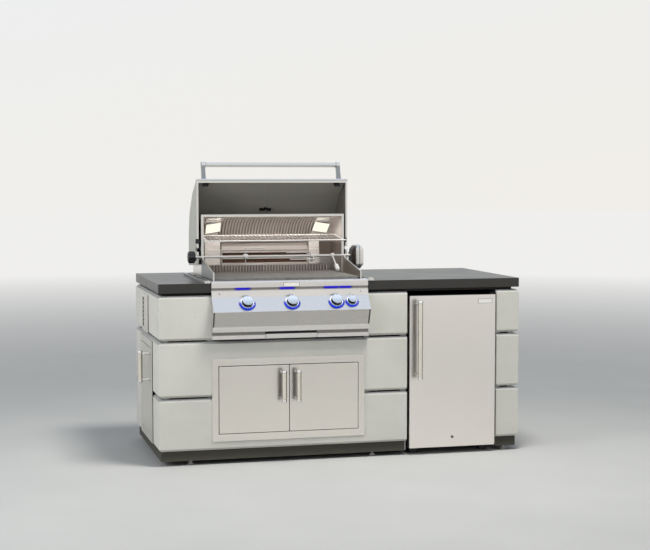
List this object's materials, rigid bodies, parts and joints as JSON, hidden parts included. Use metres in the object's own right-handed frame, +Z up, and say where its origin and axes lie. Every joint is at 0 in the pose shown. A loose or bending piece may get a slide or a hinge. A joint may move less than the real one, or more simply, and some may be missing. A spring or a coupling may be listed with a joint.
{
  "type": "outdoor kitchen island",
  "caption": "Clad outdoor kitchen counter with a built-in gas grill and open hood, rotisserie, double access doors, side door and compact fridge.",
  "frame": {"origin": "middle of the overall footprint, on the ground under the feet", "axes": "+X to the right along the counter seen from the front, +Y from the front to the back, +Z up"},
  "size_m": [2.08, 0.9936, 1.6049],
  "materials": {
    "slab_stone": "honed stone-look slab",
    "cladding": "pale concrete-look panel with small pits",
    "dark_board": "dark matt board",
    "plinth_board": "dark matt board",
    "foot_plastic": "moulded black",
    "frame_metal": "mill",
    "brushed_stainless": "brushed along its length",
    "polished_steel": "polished",
    "hood_liner": "dull, heat-toned",
    "fridge_shell": "black shell",
    "black_plastic": "moulded black",
    "gas_brass": "machined",
    "burner_iron": "cast",
    "lamp_lens": "frosted warm lens"
  },
  "bodies": {
    "root": {"countertop": "slab_stone", "counter_subframe": "dark_board", "island_frame": "frame_metal", "plinth": "plinth_board", "levelling_foot_front_left": "foot_plastic", "levelling_foot_rear_left": "foot_plastic", "levelling_foot_front_middle": "foot_plastic", "levelling_foot_rear_middle": "foot_plastic", "levelling_foot_front_right": "foot_plastic", "levelling_foot_rear_right": "foot_plastic", "front_panel_top_left": "cladding", "front_panel_top_right": "cladding", "front_panel_middle": "cladding", "front_panel_bottom": "cladding", "corner_panel_top": "cladding", "corner_panel_middle": "cladding", "corner_panel_bottom": "cladding", "left_panel_top": "cladding", "left_panel_middle": "cladding", "left_panel_bottom": "cladding", "back_panel": "cladding", "side_vent_plate": "brushed_stainless", "double_door_frame": "brushed_stainless", "side_door_frame": "brushed_stainless", "fridge_cabinet": "fridge_shell", "fridge_shelf": "polished_steel", "firebox": "brushed_stainless", "rear_housing": "hood_liner", "control_panel": "brushed_stainless", "gas_manifold": "gas_brass", "cooking_grates": "polished_steel", "flame_tamers": "brushed_stainless", "burner_set": "burner_iron", "warming_rack": "polished_steel", "rear_burner": "hood_liner", "lamp_left": "lamp_lens", "lamp_right": "lamp_lens", "rotisserie_motor": "brushed_stainless"},
    "hood": {"hood_shell": "brushed_stainless", "hood_handle": "polished_steel", "hood_thermometer": "polished_steel"},
    "knob_1": {"knob_1": "polished_steel"},
    "knob_2": {"knob_2": "polished_steel"},
    "knob_3": {"knob_3": "polished_steel"},
    "knob_4": {"knob_4": "polished_steel"},
    "left_door": {"left_access_door": "brushed_stainless", "left_door_handle": "polished_steel"},
    "right_door": {"right_access_door": "brushed_stainless", "right_door_handle": "polished_steel"},
    "side_door": {"side_access_door": "brushed_stainless", "side_door_handle": "polished_steel"},
    "fridge_door": {"fridge_door": "brushed_stainless", "fridge_handle": "brushed_stainless"},
    "fridge_lock": {"fridge_lock": "polished_steel"},
    "drip_tray": {"drip_tray": "brushed_stainless"},
    "spit": {"spit_rod": "polished_steel", "spit_handle": "black_plastic", "spit_fork_left": "polished_steel", "spit_fork_right": "polished_steel"},
    "counterbalance": {"counterbalance": "polished_steel"}
  },
  "joints": [
    {"name": "hood_hinge", "type": "hinge", "parent": "root", "child": "hood", "pos_m": [-0.262, 0.03281, 1.072], "axis": [1, 0, 0], "range_deg": [0, 99.3]},
    {"name": "knob_1_turn", "type": "hinge", "parent": "root", "child": "knob_1", "pos_m": [-0.504, -0.45082, 0.857], "axis": [0, -0.783, 0.6221], "range_deg": [0, 200]},
    {"name": "knob_2_turn", "type": "hinge", "parent": "root", "child": "knob_2", "pos_m": [-0.262, -0.45082, 0.857], "axis": [0, -0.783, 0.6221], "range_deg": [0, 200]},
    {"name": "knob_3_turn", "type": "hinge", "parent": "root", "child": "knob_3", "pos_m": [-0.019, -0.45082, 0.857], "axis": [0, -0.783, 0.6221], "range_deg": [0, 200]},
    {"name": "knob_4_turn", "type": "hinge", "parent": "root", "child": "knob_4", "pos_m": [0.067, -0.45082, 0.857], "axis": [0, -0.783, 0.6221], "range_deg": [0, 200]},
    {"name": "left_door_hinge", "type": "hinge", "parent": "root", "child": "left_door", "pos_m": [-0.64025, -0.41219, 0.1645], "axis": [0, 0, -1], "range_deg": [0, 110]},
    {"name": "right_door_hinge", "type": "hinge", "parent": "root", "child": "right_door", "pos_m": [0.10225, -0.41219, 0.1645], "axis": [0, 0, 1], "range_deg": [0, 110]},
    {"name": "side_door_hinge", "type": "hinge", "parent": "root", "child": "side_door", "pos_m": [-0.968, 0.22731, 0.1255], "axis": [0, 0, -1], "range_deg": [0, 110]},
    {"name": "fridge_door_hinge", "type": "hinge", "parent": "root", "child": "fridge_door", "pos_m": [0.883, -0.40219, 0.038], "axis": [0, 0, 1], "range_deg": [0, 105]},
    {"name": "fridge_lock_turn", "type": "hinge", "parent": "fridge_door", "child": "fridge_lock", "pos_m": [0.6505, -0.42319, 0.092], "axis": [0, -1, 0], "range_deg": [0, 90]},
    {"name": "drip_tray_slide", "type": "slide", "parent": "root", "child": "drip_tray", "axis": [0, -1, 0], "range_m": [0, 0.35]},
    {"name": "spit_turn", "type": "hinge", "parent": "root", "child": "spit", "pos_m": [-0.262, -0.01819, 1.0795], "axis": [1, 0, 0], "continuous": true},
    {"name": "counterbalance_swing", "type": "hinge", "parent": "root", "child": "counterbalance", "pos_m": [0.063, -0.01819, 1.0795], "axis": [-1, 0, 0], "range_deg": [0, 88]}
  ]
}
